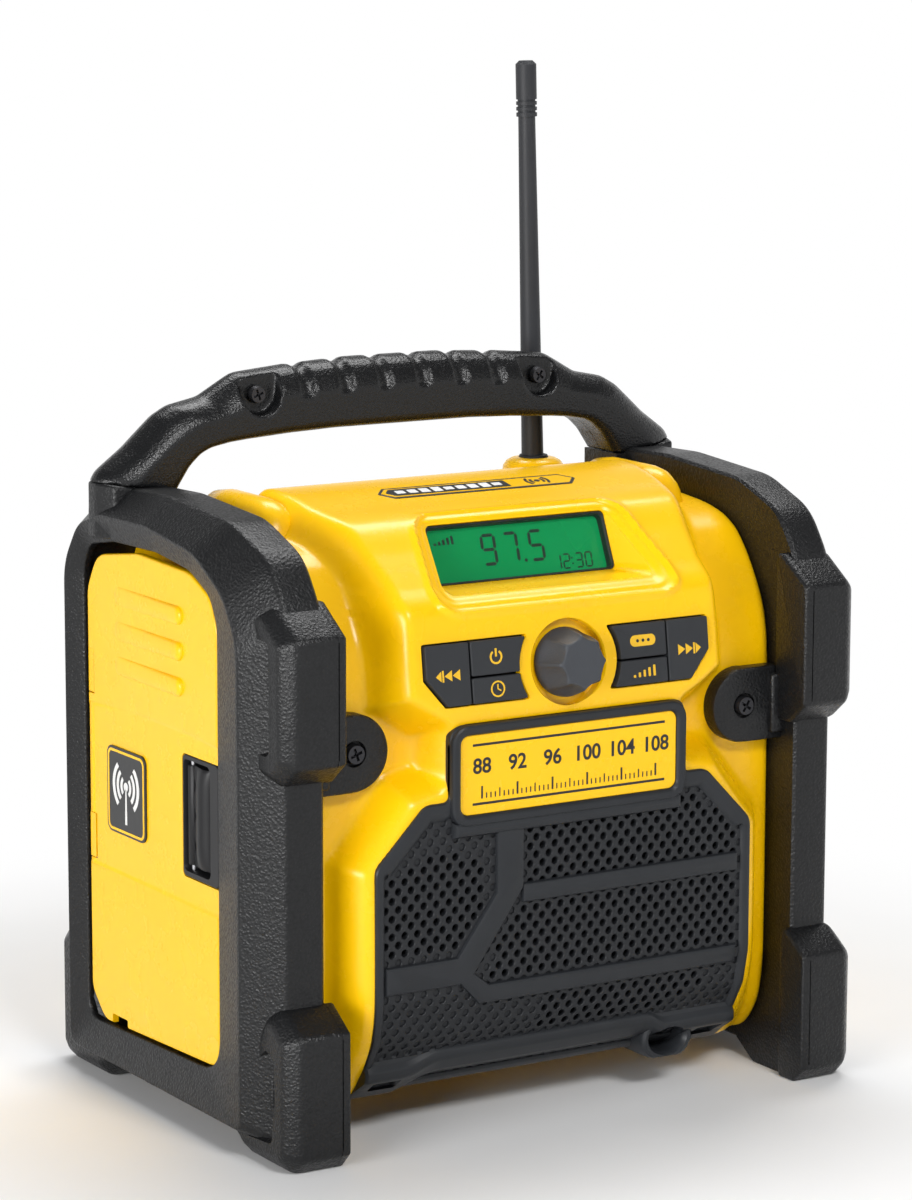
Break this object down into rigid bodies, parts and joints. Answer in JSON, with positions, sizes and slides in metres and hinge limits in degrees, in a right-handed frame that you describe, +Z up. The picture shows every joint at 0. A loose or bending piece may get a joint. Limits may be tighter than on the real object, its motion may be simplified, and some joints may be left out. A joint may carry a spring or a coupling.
{
  "type": "jobsite radio",
  "caption": "Rugged portable radio with side frames, top carrying handle, tilted display, keys, tuning knob, slanted grille, side compartment door and rear battery pack.",
  "frame": {"origin": "on the ground under the middle of the radio", "axes": "+Z up, +X to the right of someone facing the grille, +Y from the grille to the back"},
  "size_m": [0.2594, 0.184, 0.3841],
  "materials": {
    "housing_yellow": "glossy moulded yellow",
    "frame_black": "fine sand grain, charcoal black",
    "grille_black": "satin charcoal",
    "plate_yellow": "glossy yellow plate with a plain tuning scale",
    "badge_black": "printed label",
    "lens_clear": "clear moulded window",
    "lcd_green": "back-lit green liquid crystal",
    "light_guide_white": "milky white",
    "key_grey": "satin dark grey",
    "mat_rubber": "soft black",
    "knob_black": "satin charcoal",
    "steel": "plain ground",
    "screw_black": "black oxide",
    "screw_steel": "zinc plated",
    "part_black": "plain black",
    "board_green": "solder mask",
    "sink_aluminium": "plain extruded",
    "basket_steel": "black lacquer",
    "cone_paper": "coated paper",
    "magnet_iron": "ferrite",
    "antenna_rubber": "smooth black sleeve",
    "dock_black": "plain black",
    "terminal_brass": "plated blades",
    "pack_black": "fine grain",
    "pack_yellow": "glossy moulded yellow",
    "cell_wrap": "shrink sleeve",
    "button_black": "plain black"
  },
  "bodies": {
    "radio": {"antenna_socket": "part_black", "antenna_whip": "antenna_rubber", "aux_sockets": "part_black", "baffle_screws": "screw_steel", "battery_dock": "dock_black", "board_capacitors": "part_black", "board_screws": "screw_steel", "control_board": "board_green", "display_lens": "lens_clear", "dock_screws": "screw_black", "dock_terminals": "terminal_brass", "door_seal": "mat_rubber", "ear_screws": "screw_black", "encoder_body": "part_black", "frame_screws": "screw_black", "front_housing": "housing_yellow", "grille": "grille_black", "handle_front_shell": "frame_black", "handle_rear_shell": "frame_black", "handle_screws": "screw_black", "heat_sink": "sink_aluminium", "hinge_pin": "steel", "keypad_mat": "mat_rubber", "lcd_panel": "lcd_green", "left_frame": "frame_black", "left_speaker_basket": "basket_steel", "left_speaker_cone": "cone_paper", "left_speaker_magnet": "magnet_iron", "light_guide": "light_guide_white", "main_board": "board_green", "name_plate": "plate_yellow", "power_inlet": "part_black", "rear_housing": "housing_yellow", "right_cover": "housing_yellow", "right_frame": "frame_black", "right_speaker_basket": "basket_steel", "right_speaker_cone": "cone_paper", "right_speaker_magnet": "magnet_iron", "side_tray": "housing_yellow", "speaker_baffle": "part_black", "speaker_screws": "screw_steel", "top_badge": "badge_black"},
    "knob": {"knob": "knob_black", "encoder_shaft": "steel"},
    "rewind_key": {"rewind_key": "key_grey"},
    "power_key": {"power_key": "key_grey"},
    "clock_key": {"clock_key": "key_grey"},
    "mode_key": {"mode_key": "key_grey"},
    "preset_key": {"preset_key": "key_grey"},
    "forward_key": {"forward_key": "key_grey"},
    "side_door": {"side_door": "housing_yellow", "latch_housing": "grille_black", "latch_pin": "steel", "side_badge": "badge_black"},
    "latch_paddle": {"latch_paddle": "grille_black"},
    "battery_pack": {"pack_case": "pack_black", "pack_cover": "pack_yellow", "pack_cells": "cell_wrap"},
    "release_button": {"release_button": "button_black"}
  },
  "joints": [
    {"name": "knob_turn", "type": "hinge", "parent": "radio", "child": "knob", "pos_m": [0, -0.079, 0.1727], "axis": [0, -0.9919, 0.1271], "continuous": true},
    {"name": "rewind_press", "type": "slide", "parent": "radio", "child": "rewind_key", "axis": [0, 0.9919, -0.1271], "range_m": [0, 0.0008], "stiffness_N_per_m": 600},
    {"name": "power_press", "type": "slide", "parent": "radio", "child": "power_key", "axis": [0, 0.9919, -0.1271], "range_m": [0, 0.0008], "stiffness_N_per_m": 600},
    {"name": "clock_press", "type": "slide", "parent": "radio", "child": "clock_key", "axis": [0, 0.9919, -0.1271], "range_m": [0, 0.0008], "stiffness_N_per_m": 600},
    {"name": "mode_press", "type": "slide", "parent": "radio", "child": "mode_key", "axis": [0, 0.9919, -0.1271], "range_m": [0, 0.0008], "stiffness_N_per_m": 600},
    {"name": "preset_press", "type": "slide", "parent": "radio", "child": "preset_key", "axis": [0, 0.9919, -0.1271], "range_m": [0, 0.0008], "stiffness_N_per_m": 600},
    {"name": "forward_press", "type": "slide", "parent": "radio", "child": "forward_key", "axis": [0, 0.9919, -0.1271], "range_m": [0, 0.0008], "stiffness_N_per_m": 600},
    {"name": "door_swing", "type": "hinge", "parent": "radio", "child": "side_door", "pos_m": [-0.1229, 0.0588, 0.117], "axis": [0, 0, -1], "range_deg": [0, 90]},
    {"name": "latch_lift", "type": "hinge", "parent": "side_door", "child": "latch_paddle", "pos_m": [-0.122, -0.017, 0.118], "axis": [0, 0, -1], "range_deg": [0, 45], "stiffness_Nm_per_rad": 0.02},
    {"name": "pack_slide", "type": "slide", "parent": "radio", "child": "battery_pack", "axis": [0, 1, 0], "range_m": [0, 0.1]},
    {"name": "release_press", "type": "slide", "parent": "battery_pack", "child": "release_button", "axis": [0, -1, 0], "range_m": [0, 0.002], "stiffness_N_per_m": 800}
  ]
}
